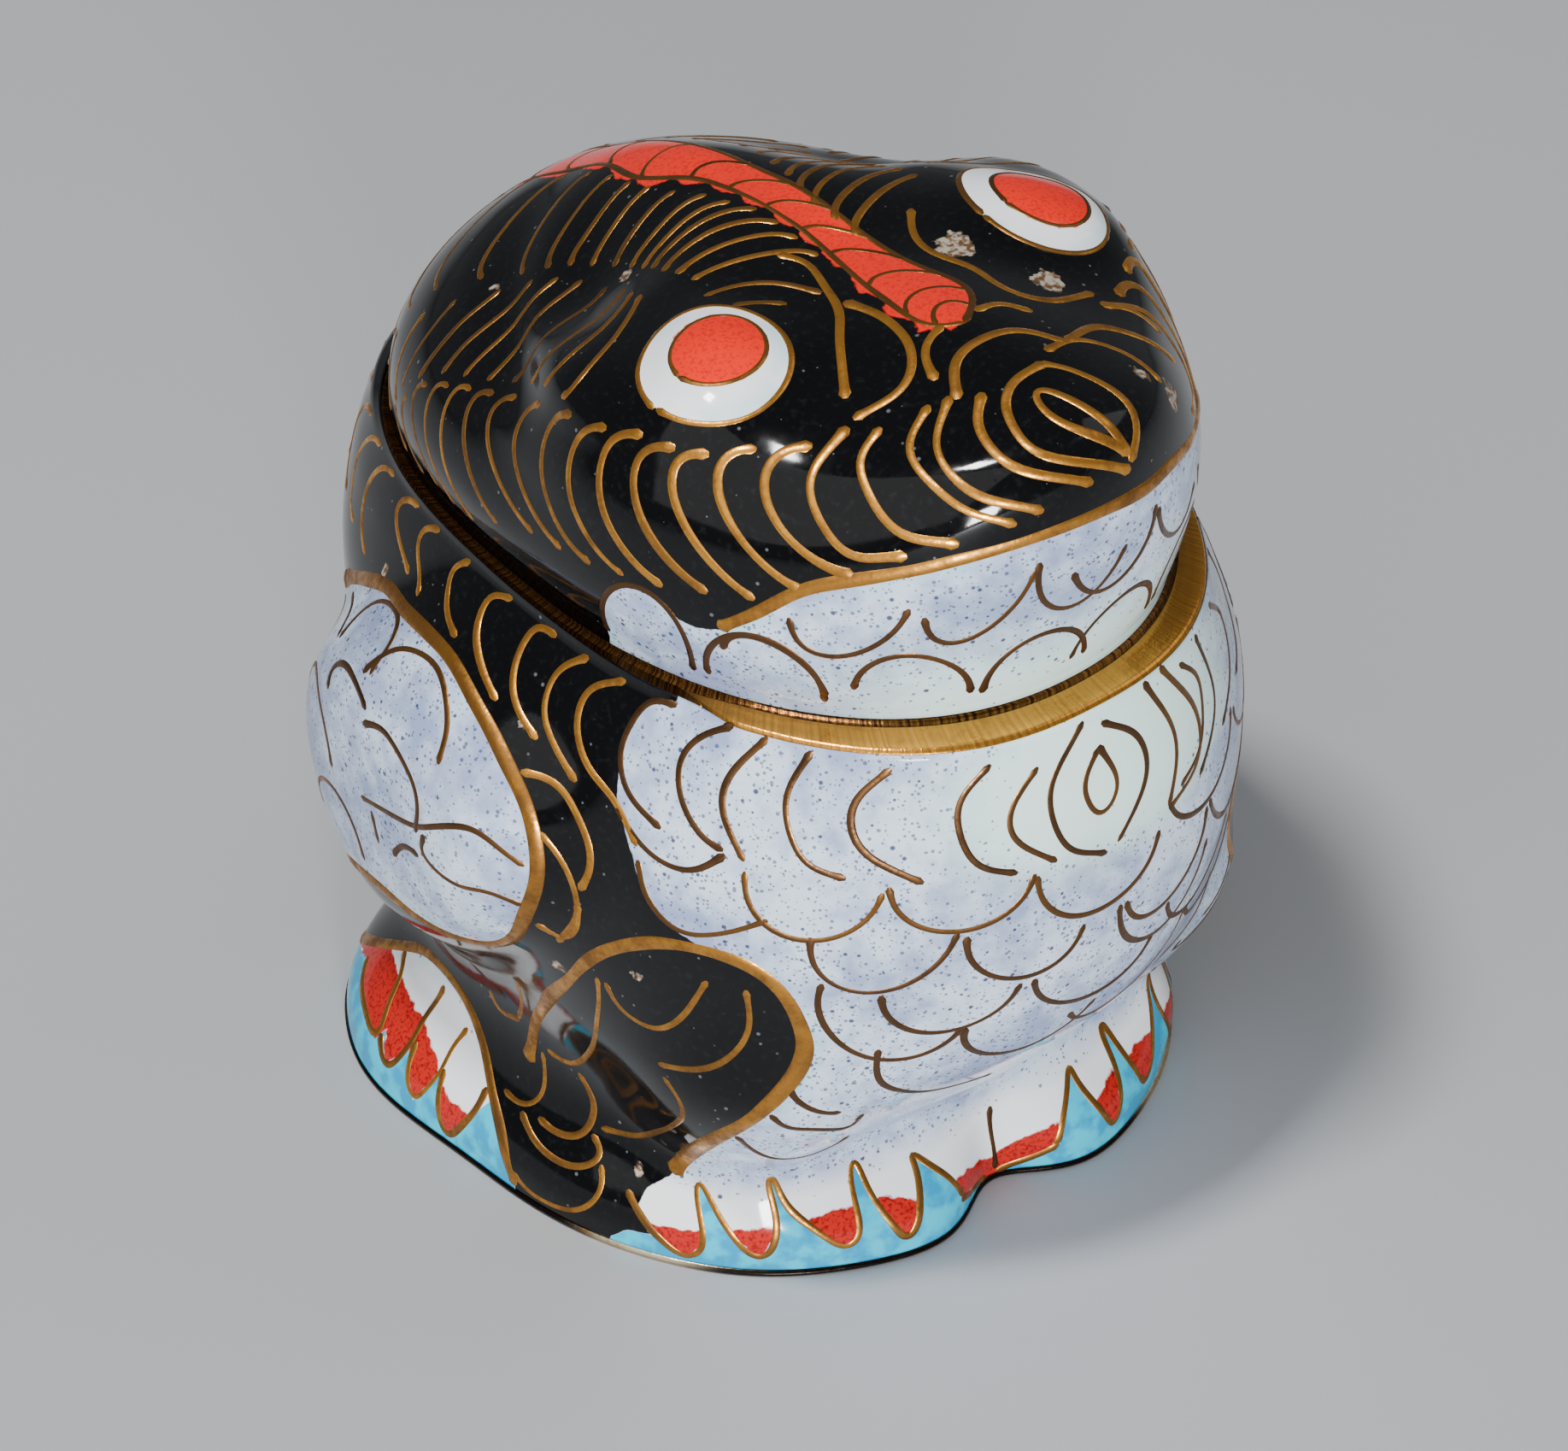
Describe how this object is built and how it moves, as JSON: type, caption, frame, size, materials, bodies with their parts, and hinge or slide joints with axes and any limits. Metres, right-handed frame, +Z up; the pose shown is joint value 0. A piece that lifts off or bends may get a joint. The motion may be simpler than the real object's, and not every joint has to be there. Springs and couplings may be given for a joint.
{
  "type": "frog-shaped cloisonne enamel box",
  "caption": "Squatting frog trinket box in cloisonne enamel with a gilt mouth rim, whose head and back lift off as a lid over a hollow body.",
  "frame": {"origin": "middle of the footprint, on the surface the box stands on", "axes": "+Z up, -Y the way the frog looks, +X the frog's left side"},
  "size_m": [0.0502, 0.0545, 0.0568],
  "materials": {
    "body_enamel": "polished vitreous enamel on copper, white and black, with thin brass wires",
    "gilt_sheet": "worn gilding",
    "gilt_rim": "gilt with fine radial file marks",
    "lid_enamel": "polished black vitreous enamel on copper with thin brass wires",
    "gilt_edge": "gilt"
  },
  "bodies": {
    "root": {"body": "body_enamel", "bottom_plate": "gilt_sheet", "mouth_rim": "gilt_rim", "lid": "lid_enamel", "lid_rim": "gilt_edge"}
  },
  "joints": []
}
